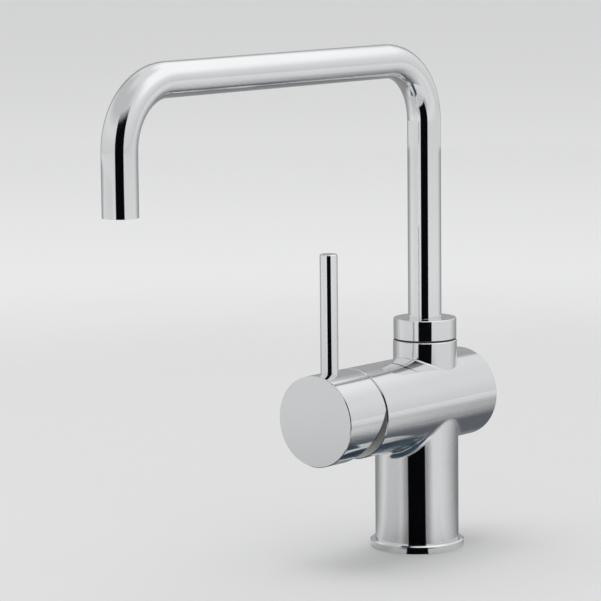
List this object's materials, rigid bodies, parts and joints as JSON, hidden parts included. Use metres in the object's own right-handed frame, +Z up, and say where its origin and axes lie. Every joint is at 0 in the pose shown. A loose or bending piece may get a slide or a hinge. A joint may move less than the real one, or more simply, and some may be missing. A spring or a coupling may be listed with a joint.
{
  "type": "swivel kitchen mixer tap",
  "caption": "Deck-mounted single-lever kitchen mixer with a lying barrel body on a short column, an upright pin lever and a tall square-bent swivel spout.",
  "frame": {"origin": "centre of the column on the deck plane", "axes": "+Z up, +X along the barrel to the handle end and along the spout at rest, +Y to the right of a user who faces the handle"},
  "size_m": [0.2804, 0.0506, 0.2724],
  "materials": {
    "polished_chrome": "bright polished chrome plate over brass",
    "plain_brass": "turned, unplated",
    "plain_steel": "stainless, turned",
    "disc_ceramic": "lapped",
    "white_plastic": "moulded",
    "grey_plastic": "moulded",
    "black_plastic": "moulded",
    "rubber": "matt"
  },
  "bodies": {
    "mixer_body": {"body_casting": "polished_chrome", "base_ring": "polished_chrome", "base_gasket": "rubber", "base_ring_seal": "rubber", "cartridge_base": "grey_plastic", "port_seals": "rubber", "fixed_disc": "disc_ceramic", "cartridge_housing": "white_plastic", "cartridge_nut": "plain_brass", "cover_ring": "polished_chrome", "swivel_washer": "black_plastic", "spout_grub_screw": "plain_steel"},
    "cartridge_turn": {"cartridge_rotor": "white_plastic", "stem_pin": "plain_steel", "rotor_seal": "rubber"},
    "moving_disc": {"moving_disc": "disc_ceramic", "disc_carrier": "grey_plastic"},
    "handle": {"cartridge_stem": "plain_brass", "handle_hub": "polished_chrome", "lever_rod": "polished_chrome", "hub_grub_screw": "plain_steel"},
    "spout": {"spout_tube": "polished_chrome", "spout_collar": "polished_chrome", "spout_nipple": "plain_brass", "spout_o_rings": "rubber", "upper_slide_ring": "white_plastic", "lower_slide_ring": "white_plastic", "outlet_sleeve": "plain_brass", "aerator_housing": "white_plastic", "aerator_screen": "white_plastic", "aerator_insert": "grey_plastic", "aerator_washer": "rubber"}
  },
  "joints": [
    {"name": "spout_swivel", "type": "hinge", "parent": "mixer_body", "child": "spout", "pos_m": [-0.0078, 0, 0.102], "axis": [0, 0, 1], "continuous": true},
    {"name": "handle_turn", "type": "hinge", "parent": "mixer_body", "child": "cartridge_turn", "pos_m": [0.05, 0, 0.0797], "axis": [1, 0, 0], "range_deg": [-45, 45]},
    {"name": "handle_tilt", "type": "hinge", "parent": "cartridge_turn", "child": "handle", "pos_m": [0.05, 0, 0.0797], "axis": [0, 1, 0], "range_deg": [0, 25]},
    {"name": "disc_slide", "type": "slide", "parent": "cartridge_turn", "child": "moving_disc", "axis": [0, 0, 1], "range_m": [0, 0.00477]}
  ],
  "couplings": [
    {"joint": "disc_slide", "follows": "handle_tilt", "m_per_rad": 0.010913}
  ]
}
